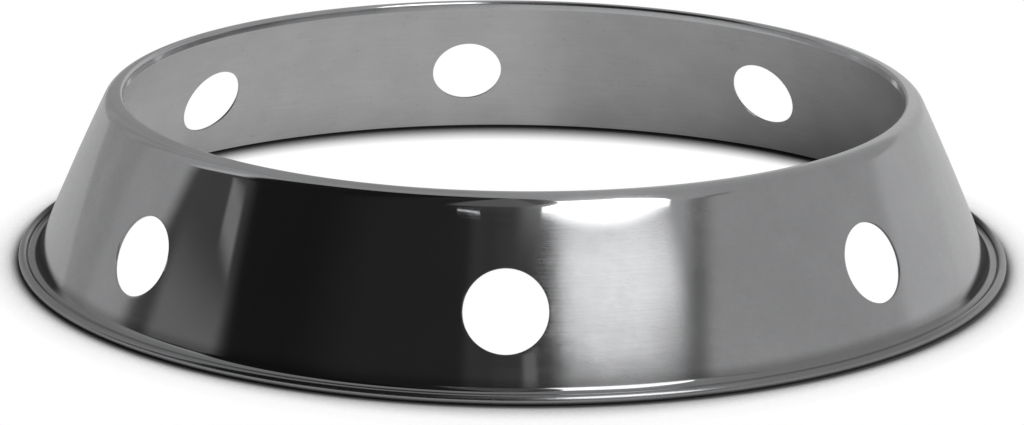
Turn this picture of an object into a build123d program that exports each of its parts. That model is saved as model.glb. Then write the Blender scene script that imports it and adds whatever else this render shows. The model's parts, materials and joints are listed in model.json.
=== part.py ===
"""Wok ring: a spun sheet-steel collar that steadies a round-bottomed wok over a burner.

One piece of sheet. From the mouth outwards it has a turned-down lip, a rounded rim, a
leaning wall with eight punched vents, a narrow ledge and a rolled bead that it stands on.
The origin is on the axis at floor level, +Z is up and -Y is the front. Sizes are in mm.
"""

import os
from math import acos, asin, atan2, cos, degrees, radians, sin, tan

from build123d import *

# Overall sizes
sheet = 0.6
foot_diameter = 248.0
mouth_diameter = 194.6
height = 42.0

# Widths along the section: the rim from the mouth to the corner above the wall, the
# level top between the rim's two bends, the ledge from the foot of the wall to the
# bead, and the lip's depth below the rim
rim_width = 3.6
rim_flat = 0.1
ledge_width = 2.4
lip_drop = 2.25

# Bend radii, each on the inside of its bend
lip_bend = 0.3
foot_bend = 1.0
lead_bend = 0.4
curl_bend = 0.6

# What the curl leaves open between the sheet's edge and the ledge above it
curl_gap = 0.5

# Vents, punched square to the wall and indexed by hand, so their spacing is uneven:
# each has an angle from +X in degrees, and a rise above the common height as a share
# of the scatter in height
vent_diameter = 19.3
vent_height = 18.4
vent_scatter_height = 0.5
vent_places = [
    (-90.7, -0.8),
    (-41.5, 1.0),
    (5.2, 0.0),
    (51.9, 0.8),
    (96.9, 1.0),
    (137.7, -0.4),
    (177.0, 0.0),
    (219.6, -1.2),
]

# The section is drawn along the middle of the sheet
half_sheet = sheet / 2
mouth_radius = mouth_diameter / 2
lip_radius = mouth_radius + half_sheet
rim_level = height - half_sheet
corner_radius = mouth_radius + rim_width

# The bead's tube is centred on the ledge's sheet, so it stands equally far above and below
bead_radius = curl_bend + sheet
bead_center_radius = foot_diameter / 2 - bead_radius
ledge_level = bead_radius
wall_foot_radius = foot_diameter / 2 - 2 * bead_radius - ledge_width
wall_lean = degrees(atan2(wall_foot_radius - corner_radius, rim_level - ledge_level))

# The rim is rounded: the shoulder's bend takes the width that the lip's bend leaves
lip_line_radius = lip_bend + half_sheet
shoulder_run = corner_radius - lip_radius - lip_line_radius - rim_flat
shoulder_line_radius = shoulder_run / tan(radians(90 - wall_lean) / 2)

# The ledge rises into the bead through a small hollow arc that is tangent to both
curl_line_radius = curl_bend + half_sheet
lead_line_radius = lead_bend + half_sheet
arc_centers_apart = curl_line_radius + lead_line_radius
lead_turn = degrees(acos(lead_line_radius / arc_centers_apart))
ledge_end_radius = bead_center_radius - arc_centers_apart * sin(radians(lead_turn))

# The curl runs over the bead and back under the ledge, and stops short of it by the gap
underside_angle = 180 + degrees(asin(half_sheet / bead_radius))
curl_end_angle = underside_angle + degrees(curl_gap / bead_radius)
curl_turn = 90 + lead_turn + 360 - curl_end_angle


def vent_plane(angle, rise):
    """Plane in the middle of the wall's sheet and square to it, centred on one vent."""
    level = vent_height + rise * vent_scatter_height
    reach = corner_radius + (rim_level - level) * tan(radians(wall_lean))
    spoke = Vector(cos(radians(angle)), sin(radians(angle)), 0)
    along_rim = Vector(-spoke.Y, spoke.X, 0)
    outward = spoke * cos(radians(wall_lean)) + Vector(0, 0, sin(radians(wall_lean)))
    return Plane(origin=spoke * reach + Vector(0, 0, level), x_dir=along_rim, z_dir=outward)


# The punch clears the sheet on both sides, however far the wall curves across a vent
wall_curve_depth = vent_diameter**2 / (8 * corner_radius)
punch_reach = sheet + 2 * wall_curve_depth

with BuildPart() as wok_ring:
    with BuildSketch(Plane.XZ):
        with BuildLine():
            shell_line = FilletPolyline(
                (lip_radius, height - lip_drop),
                (lip_radius, rim_level),
                (corner_radius, rim_level),
                (wall_foot_radius, ledge_level),
                (ledge_end_radius, ledge_level),
                radius=[lip_line_radius, shoulder_line_radius, foot_bend + half_sheet],
            )
            lead_line = JernArc(shell_line @ 1, shell_line % 1, lead_line_radius, lead_turn)
            JernArc(lead_line @ 1, lead_line % 1, curl_line_radius, -curl_turn)
        trace(line_width=sheet)
    revolve(axis=Axis.Z)

    with BuildSketch(*[vent_plane(angle, rise) for angle, rise in vent_places]):
        Circle(vent_diameter / 2)
    extrude(amount=punch_reach, both=True, mode=Mode.SUBTRACT)

wok_ring.part.label = "wok_ring"

os.makedirs("parts", exist_ok=True)
export_step(wok_ring.part, "parts/wok_ring.step")
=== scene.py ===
"""Wok ring: the spun sheet-steel collar, dressed for its studio picture.

The sheet is drawn as a section, spun round the axis, punched and given its thickness, so
it stands for the plain ring at the same place and size. Lengths are in metres.
"""

import json
from math import acos, asin, atan2, cos, degrees, hypot, pi, radians, sin, tan

import bmesh
import bpy
from mathutils import Matrix, Vector


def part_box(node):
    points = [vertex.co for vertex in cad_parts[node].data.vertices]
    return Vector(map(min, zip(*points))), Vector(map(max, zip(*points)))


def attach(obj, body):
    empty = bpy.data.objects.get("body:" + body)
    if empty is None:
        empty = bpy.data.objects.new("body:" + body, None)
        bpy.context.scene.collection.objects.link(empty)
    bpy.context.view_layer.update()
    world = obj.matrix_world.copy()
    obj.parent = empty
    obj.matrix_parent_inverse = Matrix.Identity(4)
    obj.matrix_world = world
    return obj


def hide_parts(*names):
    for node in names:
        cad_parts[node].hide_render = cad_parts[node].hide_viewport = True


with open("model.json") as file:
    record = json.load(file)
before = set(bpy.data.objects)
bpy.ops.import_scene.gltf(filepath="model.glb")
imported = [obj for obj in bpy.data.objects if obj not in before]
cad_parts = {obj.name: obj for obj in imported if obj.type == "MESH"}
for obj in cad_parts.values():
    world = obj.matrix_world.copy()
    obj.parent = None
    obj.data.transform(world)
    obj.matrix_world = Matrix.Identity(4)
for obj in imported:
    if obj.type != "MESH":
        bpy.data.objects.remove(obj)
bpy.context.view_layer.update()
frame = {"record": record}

# Sizes of the ring, from the plain ring and its record
mm = 0.001
_, ring_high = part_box("wok_ring")
foot_radius = ring_high.x
height = ring_high.z
wok_seat = next(mount for mount in frame["record"]["mounts"] if mount["name"] == "wok_seat")
mouth_radius = wok_seat["dims"]["r_mm"] * mm
sheet = 0.6 * mm
half_sheet = sheet / 2

# Widths along the section
rim_width = 3.6 * mm
rim_flat = 0.1 * mm
ledge_width = 2.4 * mm
lip_drop = 2.25 * mm

# How far the wall swells out between its ends
crown = 0.3 * mm

# Bend radii, measured to the middle of the sheet, and what the curl leaves open
lip_bend = 0.6 * mm
foot_bend = 2.4 * mm
lead_bend = 0.7 * mm
curl_bend = 0.9 * mm
curl_gap = 0.5 * mm

# The wall in the middle of the sheet: its corners at the rim and the foot, its directions
# down the slope and square out of it, and the corner that its swell bends round
bead_radius = curl_bend + half_sheet
wall_foot_radius = foot_radius - 2 * bead_radius - ledge_width
rim_corner = Vector((mouth_radius + rim_width, height - half_sheet))
foot_corner = Vector((wall_foot_radius, bead_radius))
down_wall = (foot_corner - rim_corner).normalized()
out_of_wall = Vector((-down_wall.y, down_wall.x))
swell_corner = (rim_corner + foot_corner) / 2 + out_of_wall * 2 * crown

# Vents: angle from the front, seen from above and turning to the right, and height
vent_radius = 9.65 * mm
vent_places = [
    (-0.7, 18.0 * mm),
    (48.5, 18.9 * mm),
    (95.2, 18.4 * mm),
    (141.9, 18.8 * mm),
    (186.9, 18.9 * mm),
    (227.7, 18.2 * mm),
    (267.0, 18.4 * mm),
    (309.6, 17.8 * mm),
]

# How finely the sheet is divided: columns round the ring, and rows along its section, and
# how near to each other two points are when the seam joins them
columns = 432
lip_rows = 8
shoulder_rows = 16
wall_rows = 28
foot_rows = 14
ledge_rows = 3
lead_rows = 6
curl_rows = 28
seam_reach = 0.01 * mm

# The patch of faces that a vent is opened in: how far from the vent's middle the middles
# of its faces and the ends of its outer edges lie, and how many cuts divide the faces that
# join the vent to those edges
patch_reach = 12.4 * mm
patch_edge_reach = patch_reach + 2 * mm
collar_rings = 4

# Edges sharper than the cut angle are eased, and those below the smooth angle are shaded
# as smooth
eased_width = 0.08 * mm
eased_rows = 2
cut_angle = radians(50)
smooth_angle = radians(40)


def select_none():
    """Leaves nothing selected, so that the next operator acts on new work alone."""
    if bpy.context.object and bpy.context.object.mode != "OBJECT":
        bpy.ops.object.mode_set(mode="OBJECT")
    bpy.ops.object.select_all(action="DESELECT")


def pick(piece):
    """Makes one piece the active and only selected one."""
    select_none()
    piece.select_set(True)
    bpy.context.view_layer.objects.active = piece


def apply_modifier(piece, kind, **settings):
    """Adds one modifier with its settings and applies it."""
    pick(piece)
    modifier = piece.modifiers.new(kind.lower(), kind)
    for name, value in settings.items():
        setattr(modifier, name, value)
    bpy.ops.object.modifier_apply(modifier=modifier.name)


class Section:
    """A line drawn in the plane y = 0 by extruding its last point, straight or round a bend."""

    def __init__(self, name, x, z, heading):
        select_none()
        bpy.ops.mesh.primitive_plane_add(size=mm)
        self.piece = bpy.context.object
        self.piece.name = name
        bpy.ops.object.mode_set(mode="EDIT")
        bpy.ops.mesh.merge(type="CENTER")
        bpy.ops.transform.translate(value=(x, 0, z))
        self.x, self.z, self.heading = x, z, heading

    def straight(self, length, rows=1):
        step = length / rows
        move = (step * cos(self.heading), 0, step * sin(self.heading))
        for _ in range(rows):
            bpy.ops.mesh.extrude_region_move(TRANSFORM_OT_translate={"value": move})
        self.x += move[0] * rows
        self.z += move[2] * rows

    def bend(self, radius, turn, rows):
        """Turns left for a positive angle and right for a negative one."""
        side = 1 if turn > 0 else -1
        center_x = self.x - side * radius * sin(self.heading)
        center_z = self.z + side * radius * cos(self.heading)
        bpy.ops.mesh.spin(
            steps=rows, angle=turn, center=(center_x, 0, center_z), axis=(0, 1, 0)
        )
        self.heading += turn
        self.x = center_x + side * radius * sin(self.heading)
        self.z = center_z - side * radius * cos(self.heading)


def draw_section():
    """Draws the middle of the sheet from the lip's edge to the end of the curl."""
    upper = swell_corner - rim_corner
    lower = foot_corner - swell_corner
    upper_heading = atan2(upper.y, upper.x)
    lower_heading = atan2(lower.y, lower.x)
    swell_turn = lower_heading - upper_heading
    lip_radius = mouth_radius + half_sheet
    shoulder_run = rim_corner.x - lip_radius - lip_bend - rim_flat
    shoulder_bend = shoulder_run / tan(-upper_heading / 2)
    foot_run = foot_bend * tan(-lower_heading / 2)
    wall_run = min(upper.length - shoulder_run, lower.length - foot_run)
    wall_bend = wall_run / tan(-swell_turn / 2)

    section = Section("ring_sheet", lip_radius, height - lip_drop, pi / 2)
    section.straight(lip_drop - half_sheet - lip_bend)
    section.bend(lip_bend, -pi / 2, lip_rows)
    section.straight(rim_corner.x - shoulder_run - section.x)
    section.bend(shoulder_bend, upper_heading, shoulder_rows)
    section.straight(upper.length - shoulder_run - wall_run)
    section.bend(wall_bend, swell_turn, wall_rows)
    section.straight(lower.length - foot_run - wall_run)
    section.bend(foot_bend, -lower_heading, foot_rows)

    centers_apart = curl_bend + lead_bend
    lead_turn = acos(lead_bend / centers_apart)
    ledge_end = foot_radius - bead_radius - centers_apart * sin(lead_turn)
    section.straight(ledge_end - section.x, ledge_rows)
    section.bend(lead_bend, lead_turn, lead_rows)
    underside = pi + asin(half_sheet / bead_radius)
    curl_turn = pi / 2 + lead_turn + 2 * pi - underside - curl_gap / bead_radius
    section.bend(curl_bend, -curl_turn, curl_rows)
    bpy.ops.object.mode_set(mode="OBJECT")
    return section.piece


def face_outwards(piece):
    """Turns every face of the sheet to the outside of the ring."""
    pick(piece)
    bpy.ops.object.mode_set(mode="EDIT")
    bpy.ops.mesh.select_all(action="SELECT")
    bpy.ops.mesh.normals_make_consistent(inside=False)
    bpy.ops.object.mode_set(mode="OBJECT")


def spin_sheet(piece):
    """Spins the section once round the axis and closes its seam."""
    pick(piece)
    bpy.ops.object.mode_set(mode="EDIT")
    bpy.ops.mesh.select_all(action="SELECT")
    bpy.ops.mesh.spin(steps=columns, angle=2 * pi, center=(0, 0, 0), axis=(0, 0, 1))
    bpy.ops.mesh.select_all(action="SELECT")
    bpy.ops.mesh.remove_doubles(threshold=seam_reach)
    bpy.ops.object.mode_set(mode="OBJECT")
    face_outwards(piece)


def punch_vent(piece, angle, level):
    """Opens one round vent: a patch of the wall's faces gives way to a ring of faces
    that runs from the patch's edge to a circle square to the wall."""
    to_level = (level - rim_corner.y) / down_wall.y
    middle = rim_corner + down_wall * to_level + out_of_wall * crown
    spoke = Vector((sin(radians(angle)), -cos(radians(angle)), 0))
    center = spoke * middle.x + Vector((0, 0, middle.y))
    normal = spoke * out_of_wall.x + Vector((0, 0, out_of_wall.y))

    def in_patch(point, reach):
        turned = atan2(point.x, -point.y) - radians(angle)
        sideways = ((turned + pi) % (2 * pi) - pi) * middle.x
        downward = (Vector((hypot(point.x, point.y), point.z)) - middle).dot(down_wall)
        return abs(sideways) < reach and abs(downward) < reach

    pick(piece)
    bpy.ops.object.mode_set(mode="EDIT")
    bpy.ops.mesh.select_mode(type="FACE")
    bpy.ops.mesh.select_all(action="DESELECT")
    shape = bmesh.from_edit_mesh(piece.data)
    for face in shape.faces:
        face.select_set(in_patch(face.calc_center_median(), patch_reach))
    bmesh.update_edit_mesh(piece.data)
    bpy.ops.mesh.delete(type="FACE")

    bpy.ops.mesh.select_mode(type="EDGE")
    shape = bmesh.from_edit_mesh(piece.data)
    opened = [
        edge
        for edge in shape.edges
        if edge.is_boundary and in_patch(edge.verts[0].co, patch_edge_reach)
    ]
    bpy.ops.mesh.primitive_circle_add(
        vertices=len(opened),
        radius=vent_radius,
        location=center,
        rotation=normal.to_track_quat("Z", "Y").to_euler(),
    )
    bpy.ops.object.vertex_group_assign()
    shape = bmesh.from_edit_mesh(piece.data)
    for edge in shape.edges:
        if edge.is_boundary or edge.is_wire:
            edge.select_set(in_patch(edge.verts[0].co, patch_edge_reach))
    bmesh.update_edit_mesh(piece.data)
    bpy.ops.mesh.bridge_edge_loops(number_cuts=collar_rings, interpolation="LINEAR")
    bpy.ops.object.vertex_group_assign()
    bpy.ops.object.mode_set(mode="OBJECT")


def copy_of(piece, name):
    """A copy with a mesh of its own."""
    twin = piece.copy()
    twin.data = piece.data.copy()
    twin.name = name
    bpy.context.collection.objects.link(twin)
    return twin


def make_ring(finishes):
    """The whole ring: drawn, spun, punched, wrapped back onto the wall round its vents,
    and thickened, with its cut edges eased. The finishes are those of the outside, the
    inside and the cut edges."""
    ring = draw_section()
    spin_sheet(ring)
    whole_wall = copy_of(ring, "whole_wall")
    ring.vertex_groups.new(name="collars")
    for angle, level in vent_places:
        punch_vent(ring, angle, level)
    apply_modifier(
        ring,
        "SHRINKWRAP",
        target=whole_wall,
        vertex_group="collars",
        wrap_method="NEAREST_SURFACEPOINT",
    )
    bpy.data.objects.remove(whole_wall)
    ring.vertex_groups.clear()
    face_outwards(ring)

    for finish in finishes:
        ring.data.materials.append(finish)
    apply_modifier(
        ring,
        "SOLIDIFY",
        thickness=sheet,
        offset=0,
        use_even_offset=True,
        material_offset=1,
        material_offset_rim=2,
    )
    apply_modifier(
        ring,
        "BEVEL",
        width=eased_width,
        segments=eased_rows,
        limit_method="ANGLE",
        angle_limit=cut_angle,
    )
    pick(ring)
    bpy.ops.object.shade_smooth_by_angle(angle=smooth_angle)
    apply_modifier(ring, "WEIGHTED_NORMAL", mode="FACE_AREA", keep_sharp=True)
    return ring


class Value:
    """A number or a vector on a node's socket; arithmetic on it adds Math nodes."""

    def __init__(self, web, socket):
        self.web = web
        self.socket = socket

    def math(self, operation, *others):
        inputs = dict(enumerate((self, *others)))
        return self.web.node("ShaderNodeMath", {"operation": operation}, inputs)

    def __add__(self, other):
        return self.math("ADD", other)

    def __radd__(self, other):
        return self.math("ADD", other)

    def __sub__(self, other):
        return self.math("SUBTRACT", other)

    def __rsub__(self, other):
        return self.math("MULTIPLY_ADD", -1.0, other)

    def __mul__(self, other):
        return self.math("MULTIPLY", other)

    def __rmul__(self, other):
        return self.math("MULTIPLY", other)

    def __truediv__(self, other):
        return self.math("DIVIDE", other)

    def between(self, low, high):
        """Goes smoothly from 0 at low to 1 at high, which may be the lesser of the two."""
        return self.web.node(
            "ShaderNodeMapRange",
            {"interpolation_type": "SMOOTHSTEP"},
            {"Value": self, "From Min": low, "From Max": high},
        )

    def within(self, start, full, fading, end):
        """Goes smoothly from 0 at start to 1 at full, and from 1 at fading to 0 at end."""
        return self.between(start, full) * self.between(end, fading)

    def above(self, low):
        """Goes evenly from 0 at low to 1 at 1, and is 0 below."""
        return ((self - low) * (1 / (1 - low))).math("MAXIMUM", 0.0)


class Web:
    """The nodes of one material or of the world."""

    def __init__(self, owner):
        owner.use_nodes = True
        self.tree = owner.node_tree
        self.tree.nodes.clear()

    def node(self, kind, settings=None, inputs=None, output=0):
        """Adds a node: its settings first, then the values and links of its sockets."""
        made = self.tree.nodes.new(kind)
        for name, value in (settings or {}).items():
            setattr(made, name, value)
        for name, value in (inputs or {}).items():
            if isinstance(value, Value):
                self.tree.links.new(value.socket, made.inputs[name])
            else:
                made.inputs[name].default_value = value
        return Value(self, made.outputs[output] if made.outputs else None)

    def noise(self, place, scale, detail, roughness=0.5):
        return self.node(
            "ShaderNodeTexNoise",
            inputs={"Vector": place, "Scale": scale, "Detail": detail, "Roughness": roughness},
        )

    def axes(self, vector):
        """The x, y and z of a vector."""
        parts = self.node("ShaderNodeSeparateXYZ", inputs={"Vector": vector}).socket.node
        return [Value(self, socket) for socket in parts.outputs]

    def vector(self, x, y, z):
        return self.node("ShaderNodeCombineXYZ", inputs={"X": x, "Y": y, "Z": z})

    def mix(self, share, first, second):
        """Two shaders, with this share of the second."""
        return self.node("ShaderNodeMixShader", inputs={0: share, 1: first, 2: second})


# How far up the slope from the sheet's corner the crease at the foot of the wall lies
crease_rise = 0.16 * mm


def wall_places(web, place):
    """Distance from the axis, distance up the slope of the wall from the crease, and
    angle from the front in degrees, turning to the right."""
    up_wall = -down_wall
    crease_upward = up_wall.dot(foot_corner) + crease_rise
    x, y, z = web.axes(place)
    radius = (x * x + y * y).math("SQRT")
    upward = z * up_wall.y + radius * up_wall.x - crease_upward
    around = x.math("ARCTAN2", y * -1.0) * degrees(1)
    return radius, upward, around


def scratches(web, place, upward, pitch, length, slant=0.0):
    """Noise drawn out round the ring: fine lines a pitch apart and about a length long."""
    x, y, _ = web.axes(place)
    stretch = pitch / length
    lined = web.vector(x * stretch, y * stretch, upward + x * slant)
    return web.noise(lined, 1 / pitch, detail=3.0, roughness=0.6) - 0.5


def scratched_normal(web, lines, strength):
    """The scratches as a slight relief."""
    relief = {"Strength": strength, "Distance": 0.02 * mm, "Height": lines}
    return web.node("ShaderNodeBump", inputs=relief)


def tinted(web, color, shade):
    """A colour made lighter or darker by a number round 1."""
    return web.node(
        "ShaderNodeVectorMath", {"operation": "SCALE"}, {0: color, "Scale": shade}
    )


# Radii of the bands of the outside. The rim, which carries a painted highlight, and the
# ledge with its bead, have a radius where their band starts and one from which it is full.
# The crease and the groove inside the bead, both darkened with painted shade, have four,
# as Value.within takes them.
rim_band = (mouth_radius + 3.7 * mm, mouth_radius + 2.2 * mm)
ledge_band = (wall_foot_radius + 0.6 * mm, wall_foot_radius + 1.1 * mm)
crease_band = [wall_foot_radius + out * mm for out in (-1.4, -0.3, 0.5, 1.2)]
groove_band = [wall_foot_radius + out * mm for out in (1.4, 1.9, 3.4, 4.0)]

# The crescents of painted shade at the sides, standing for the dark floor and bead that the
# foot of the wall mirrors there. They start this many degrees from the front, both ways,
# and the other turns are counted on from there. They rise by so much for each degree, up
# to the turn where they stand full height, and are partly lost round the back, where the
# groove inside the bead holds painted shade too.
crescent_start = 60.0
crescent_full = 30.0
crescent_rise = 0.25 * mm
crescent_top = (1.1 * mm, -0.9 * mm)
crescent_foot = (wall_foot_radius + 1.0 * mm, wall_foot_radius + 0.5 * mm)
crescent_appears = (2.0, 8.0)
crescent_fades = (40.0, 62.0)
crescent_loss = 0.6
groove_appears = (28.0, 42.0)
crescent_strength = 0.92
groove_strength = 0.85


def painted_shade_places(radius, upward, around):
    """Where a dark sheet of painted shade covers the steel: in crescents over the crease at
    the sides, and in the groove inside the bead round the back."""
    turned_away = around.math("ABSOLUTE") - crescent_start
    rising = turned_away.math("MINIMUM", crescent_full)
    crescents = (upward - rising * crescent_rise).between(*crescent_top)
    crescents = crescents * rising.between(*crescent_appears)
    crescents = crescents * radius.between(*crescent_foot)
    crescents = crescents * (1.0 - turned_away.between(*crescent_fades) * crescent_loss)
    groove = radius.within(*groove_band) * turned_away.between(*groove_appears)
    return crescents * crescent_strength + groove * groove_strength


# The brushed patch right of the front vent: its edges in degrees from the front, how far
# its left edge moves to the right near the foot of the wall, its share at the very foot,
# and what it loses under the rim
patch_left = (1.5, 8.5)
patch_right = (22.5, 14.5)
patch_raggedness = 2.5
patch_narrows = (18 * mm, 4 * mm)
patch_narrowing = 3.0
patch_foot = (3 * mm, 10 * mm)
patch_foot_share = 0.4
patch_top = (28 * mm, 38 * mm)
patch_top_loss = 0.35


def brushed_patch(upward, around, mottle):
    """Share of the brushed patch, with ragged edges."""
    ragged = around + mottle * patch_raggedness
    left = ragged - upward.between(*patch_narrows) * patch_narrowing
    patch = left.between(*patch_left) * ragged.between(*patch_right)
    over_foot = upward.between(*patch_foot) * (1 - patch_foot_share) + patch_foot_share
    return patch * over_foot * (1.0 - upward.between(*patch_top) * patch_top_loss)


# The rest of the outside's haze, in degrees from the front: a faint streak over the front
# vent, as Value.within takes it, and both sides
streak_band = (-3.0, -1.0, 4.0, 8.0)
right_side = (19.0, 25.0)
left_side = (-46.0, -52.0)

# Share of brushed steel in the polish of each part of the outside, and its limits
mirror_haze = 0.035
streak_haze = 0.09
ledge_haze = 0.15
side_haze = 0.3
patch_haze = 0.6
least_haze = 0.02
most_haze = 0.9

# The outside's colour, the share of it that the ledge loses, the painted shade that darkens
# the crease and the painted highlight that lightens the rim, and the colour of the painted
# shade in the crescents and the groove
polished_color = (0.557, 0.56, 0.57)
ledge_loss = 0.36
crease_painted_shade = 0.35
rim_painted_highlight = 0.12
painted_shade_color = (0.02, 0.02, 0.02, 1)

# Scales of the noise, in cells for each metre
cloud_scale = 60.0
mottle_scale = 170.0
satin_cloud_scale = 70.0
speck_scale = 900.0


def polished_finish():
    """Outside of the sheet: mirror polish, hazed in places by fine scratches that run round
    the ring, darker on the ledge and the bead, with painted shade in the crease, a painted
    highlight on the rim, and a dark sheet of painted shade in crescents at the sides and in
    the groove inside the bead."""
    material = bpy.data.materials.new("polished_steel")
    web = Web(material)
    place = web.node("ShaderNodeTexCoord", output="Object")
    radius, upward, around = wall_places(web, place)
    fine = scratches(web, place, upward, pitch=0.42 * mm, length=18 * mm)
    slanted = scratches(web, place, upward, pitch=0.5 * mm, length=9 * mm, slant=0.3)
    lines = fine * 0.6 + slanted * 0.4
    clouds = web.noise(place, cloud_scale, detail=4.0, roughness=0.6) - 0.5
    mottle = web.noise(place, mottle_scale, detail=5.0, roughness=0.65) - 0.5
    ledge = radius.between(*ledge_band)
    # Painted shade in the crease at the foot of the wall
    crease = radius.within(*crease_band)
    # A painted highlight: the rim's flat top made lighter
    rim = radius.between(*rim_band)

    patch = brushed_patch(upward, around, mottle)
    streak = around.within(*streak_band)
    sides = around.between(*right_side) + around.between(*left_side)
    haze = mirror_haze + patch * (patch_haze + mottle * 0.3 + clouds * 0.2 + lines * 0.4)
    haze = haze + streak * (streak_haze + fine * 0.25)
    haze = haze + sides * (side_haze + clouds * 0.5) + ledge * ledge_haze
    haze = haze.math("MAXIMUM", least_haze).math("MINIMUM", most_haze)

    shade = 1.0 + lines * 0.1 + clouds * 0.2 + mottle * 0.08 + rim * rim_painted_highlight
    shade = shade * (1.0 - ledge * ledge_loss) * (1.0 - crease * crease_painted_shade)
    color = tinted(web, polished_color, shade)
    mirror = web.node(
        "ShaderNodeBsdfPrincipled",
        inputs={
            "Base Color": color,
            "Metallic": 1.0,
            "Roughness": 0.035 + clouds * 0.02 + sides * 0.05 + ledge * 0.12,
        },
    )
    brushed = web.node(
        "ShaderNodeBsdfPrincipled",
        inputs={
            "Base Color": color,
            "Metallic": 1.0,
            "Roughness": 0.3 + lines * 0.2,
            "Anisotropic": 0.85,
            "Anisotropic Rotation": 0.25,
            "Normal": scratched_normal(web, fine, strength=0.15),
        },
    )
    # A dark, rough sheet of painted shade, laid over the crescents and the groove
    painted_shade = web.node(
        "ShaderNodeBsdfPrincipled",
        inputs={"Base Color": painted_shade_color, "Roughness": 0.7, "Specular IOR Level": 0.2},
    )
    polish = web.mix(haze, mirror, brushed)
    surface = web.mix(painted_shade_places(radius, upward, around), polish, painted_shade)
    web.node("ShaderNodeOutputMaterial", inputs={"Surface": surface})
    return material


# Where the satin darkens a little, right of the middle, and again far to the right, where
# the darkening is painted shade from the shadowed floor that the inside mirrors there
darker_right = (3 * mm, 22 * mm)
painted_shade_far_right = (60 * mm, 100 * mm)


def satin_finish(name, tone, roughness):
    """Inside of the sheet and its cut edges: satin steel with faint mottling, darker to the
    right, and far to the right with painted shade.
    """
    material = bpy.data.materials.new(name)
    web = Web(material)
    place = web.node("ShaderNodeTexCoord", output="Object")
    x, _, _ = web.axes(place)
    _, upward, _ = wall_places(web, place)
    fine = scratches(web, place, upward, pitch=0.6 * mm, length=14 * mm)
    clouds = web.noise(place, satin_cloud_scale, detail=5.0, roughness=0.6) - 0.5
    specks = web.noise(place, speck_scale, detail=1.0).between(0.68, 0.76)
    shade = 1.0 + fine * 0.16 + clouds * 0.3 - specks * 0.12
    shade = shade - x.between(*darker_right) * 0.15
    # Painted shade far to the right, for the floor in the right wall's shadow mirrored there
    shade = shade - x.between(*painted_shade_far_right) * 0.12
    surface = web.node(
        "ShaderNodeBsdfPrincipled",
        inputs={
            "Base Color": tinted(web, (tone, tone, tone * 1.01), shade),
            "Metallic": 1.0,
            "Roughness": roughness + clouds * 0.12,
            "Anisotropic": 0.4,
            "Anisotropic Rotation": 0.25,
            "Normal": scratched_normal(web, fine, strength=0.2),
        },
    )
    web.node("ShaderNodeOutputMaterial", inputs={"Surface": surface})
    return material


# The studio, as the steel mirrors it: soft cards in front of a grey room, each over the
# ones before it. A card has the azimuth of its middle, seen from the camera's side and
# turning right, its half width and the softness of its edges, in degrees, and its level.
# It may have a lowest and a highest elevation, or else it runs from under the floor to
# past the zenith. It may lean, which moves it to the right by so many degrees for each
# degree above its pivot. For each degree from its middle its upper edge may rise, and its
# lower edge may tilt, and bow with the square, by so many degrees.
room_level = 0.4
under_floor = -30
past_zenith = 95
studio_cards = [
    # Behind the ring, mirrored at the far left and right of the wall
    dict(middle=170, half_width=60, high=60, softness=7, lean=3, pivot=10, level=0.58),
    dict(middle=-165, half_width=15, high=60, softness=6, level=0.33),
    dict(middle=-141, half_width=10, high=60, softness=8, level=0.35),
    dict(middle=-125, half_width=6, high=60, softness=5, level=0.34),
    dict(middle=-110, half_width=9, high=60, softness=3, level=0.42),
    # The dark screens on the left, with a paler one low down and a streak of light
    dict(middle=-54, half_width=45.4, softness=2.6, lean=0.58, pivot=17, level=0.07),
    dict(middle=-84.5, half_width=10.5, high=17.6, rise=0.18, softness=2.5, level=0.19),
    dict(middle=-40, half_width=35.5, softness=3.5, lean=-0.85, pivot=22, level=0.012),
    dict(middle=-25, half_width=22, softness=12, level=0.024),
    dict(
        middle=-80.3, half_width=3, low=20.7, high=23.4,
        softness=0.8, lean=-0.9, pivot=21.5, level=0.26,
    ),
    # Round the camera, mirrored at the front of the wall
    dict(middle=-9, half_width=2.5, low=26, high=40, softness=2, level=0.05),
    dict(middle=2.5, half_width=10, high=36.3, softness=4, level=0.045),
    dict(middle=-6, half_width=13, low=37.5, softness=2.5, level=0.15),
    dict(middle=4.5, half_width=1.6, high=29, softness=1, level=0.18),
    # The softbox on the right, the glow under it, and the screens round them
    dict(
        middle=29, half_width=15.5, low=27.3, high=32.6, rise=-0.08,
        softness=3.5, tilt=-0.12, bow=0.004, level=1.15,
    ),
    dict(middle=32, half_width=16, high=26, softness=3, level=0.24),
    dict(middle=51.3, half_width=3.5, high=40, softness=3.6, lean=1.45, pivot=28, level=0.12),
    dict(
        middle=28, half_width=19.5, low=33.65, high=70,
        softness=0.5, lean=0.4, pivot=36, tilt=-0.09, bow=0.0005, level=3.2,
    ),
    # A thin lamp, left of the camera
    dict(middle=-13, half_width=3.3, low=35.42, high=35.46, softness=0.02, level=6),
]


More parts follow.
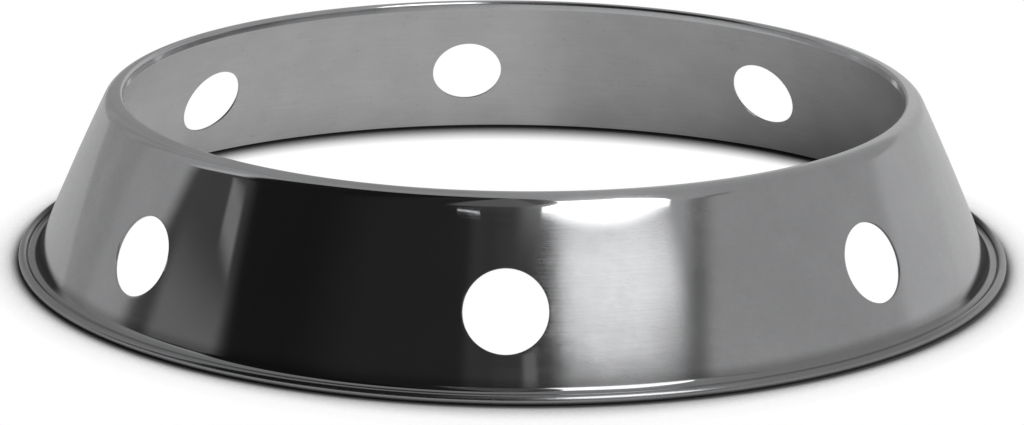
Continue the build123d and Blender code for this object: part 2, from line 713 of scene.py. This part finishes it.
def light_studio():
    """The world: white to the camera, and the studio's cards to everything else."""
    world = bpy.data.worlds.new("studio")
    bpy.context.scene.world = world
    web = Web(world)
    toward = web.node("ShaderNodeTexCoord", output="Generated")
    x, y, z = web.axes(toward)
    azimuth = x.math("ARCTAN2", y * -1.0) * degrees(1)
    elevation = z.math("ARCSINE") * degrees(1)
    level = web.node("ShaderNodeValue")
    level.socket.default_value = room_level
    for card in studio_cards:
        middle = card["middle"]
        if "lean" in card:
            middle = middle + (elevation - card["pivot"]) * card["lean"]
        offset = (azimuth - middle).math("WRAP", 180.0, -180.0)
        low = card.get("low", under_floor)
        if "tilt" in card:
            low = low + offset * card["tilt"] + offset * offset * card["bow"]
        high = card.get("high", past_zenith)
        if "rise" in card:
            high = high + offset * card["rise"]
        width, soft = card["half_width"], card["softness"]
        mask = offset.math("ABSOLUTE").between(width + soft, width - soft)
        mask = mask * (elevation - low).between(-soft, soft)
        mask = mask * (elevation - high).between(soft, -soft)
        level = mask * (card["level"] - level) + level
    camera_ray = web.node("ShaderNodeLightPath", output="Is Camera Ray")
    light = web.node(
        "ShaderNodeBackground",
        inputs={"Color": (1, 1, 1, 1), "Strength": camera_ray * (1.0 - level) + level},
    )
    web.node("ShaderNodeOutputWorld", inputs={"Surface": light})


# The floor, and the widths of its soft shadow in front of the ring and inside it, with
# what is left of them at the sides
floor_radius = 2.5
shadow_outside = 16 * mm
shadow_inside = 12 * mm
side_share = 0.6

# The shares of open sky at which the floor starts to turn white to the camera, and the
# power that holds its whiteness back outside the ring
clears_outside = 0.5
clears_inside = 0.3
clearing_power = 3.8

# How white the floor looks in the steel outside and inside the ring, and what it loses outside
# at the far left, and, as a painted shadow of the ring's right wall, inside right of the middle
# and again further right
white_outside = 0.4
white_inside = 0.42
loss_far_left = 0.16
painted_shadow_right = 0.08
painted_shadow_further_right = 0.22

# Greys of the floor where it is shaded and where it is clear
shaded_floor = (0.15, 0.15, 0.15, 1)
clear_floor = (0.8, 0.8, 0.8, 1)


def lay_floor():
    """A plain pale floor. Where the ring stops shading it, it turns white to the camera,
    so that it meets the white backdrop, and partly white in what the steel mirrors."""
    select_none()
    bpy.ops.mesh.primitive_circle_add(vertices=96, radius=floor_radius, fill_type="NGON")
    floor = bpy.context.object
    floor.name = "floor"
    material = bpy.data.materials.new("pale_floor")
    web = Web(material)
    place = web.node("ShaderNodeTexCoord", output="Object")
    x, y, _ = web.axes(place)
    radius = (x * x + y * y).math("SQRT")
    facing = (y / radius).math("POWER", 4.0)
    inside = radius.between(foot_radius - mm, foot_radius - 3 * mm)
    camera_ray = web.node("ShaderNodeLightPath", output="Is Camera Ray")
    glossy_ray = web.node("ShaderNodeLightPath", output="Is Glossy Ray")
    width = shadow_outside + inside * (shadow_inside - shadow_outside)
    narrowing = (1.0 - facing) * (1.0 - glossy_ray) * (side_share - 1) + 1.0
    open_sky = web.node(
        "ShaderNodeAmbientOcclusion",
        {"samples": 8},
        {"Distance": width * narrowing},
        output="AO",
    )
    outside_clear = open_sky.above(clears_outside).math("POWER", clearing_power)
    inside_clear = open_sky.above(clears_inside)
    clear = outside_clear + inside * (inside_clear - outside_clear)
    mirrored_outside = white_outside - x.between(-100 * mm, -140 * mm) * loss_far_left
    mirrored_outside = open_sky.between(0.5, 0.95) * mirrored_outside
    # Painted shadow of the ring's right wall on the floor inside, as the steel mirrors it
    mirrored_inside = white_inside - x.between(0.0, 20 * mm) * painted_shadow_right
    mirrored_inside = mirrored_inside - x.between(20 * mm, 90 * mm) * painted_shadow_further_right
    mirrored = mirrored_outside + inside * (mirrored_inside - mirrored_outside)

    shaded = web.node("ShaderNodeBsdfDiffuse", inputs={"Color": shaded_floor})
    pale = web.node("ShaderNodeBsdfDiffuse", inputs={"Color": clear_floor})
    white = web.node("ShaderNodeEmission", inputs={"Strength": 1.0})
    whiteness = clear * camera_ray + mirrored * glossy_ray
    surface = web.mix(whiteness, web.mix(clear, shaded, pale), white)
    web.node("ShaderNodeOutputMaterial", inputs={"Surface": surface})
    floor.data.materials.append(material)


# The camera, placed from the photograph's outlines: its angles are in degrees, and its
# lens and sensor in millimetres
camera_place = (-0.24 * mm, -862.26 * mm, 254.89 * mm)
camera_elevation = 15.9115
camera_roll = 0.6209
camera_lens = 124.78
camera_sensor = 36
nearest_seen = 10 * mm


def place_camera():
    """The camera looks down at the ring from the front, turned slightly off level."""
    data = bpy.data.cameras.new("camera")
    data.lens = camera_lens
    data.sensor_width = camera_sensor
    data.clip_start = nearest_seen
    camera = bpy.data.objects.new("camera", data)
    bpy.context.collection.objects.link(camera)
    tilt = Matrix.Rotation(radians(90 - camera_elevation), 4, "X")
    roll = Matrix.Rotation(radians(camera_roll), 4, "Z")
    camera.location = camera_place
    camera.rotation_euler = (tilt @ roll).to_euler()
    bpy.context.scene.camera = camera


finishes = [
    polished_finish(),
    satin_finish("satin_steel", tone=0.56, roughness=0.38),
    satin_finish("cut_steel", tone=0.48, roughness=0.34),
]
ring = make_ring(finishes)
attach(ring, "root")
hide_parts("wok_ring")

lay_floor()
light_studio()
place_camera()
bpy.context.scene.view_settings.view_transform = "Standard"
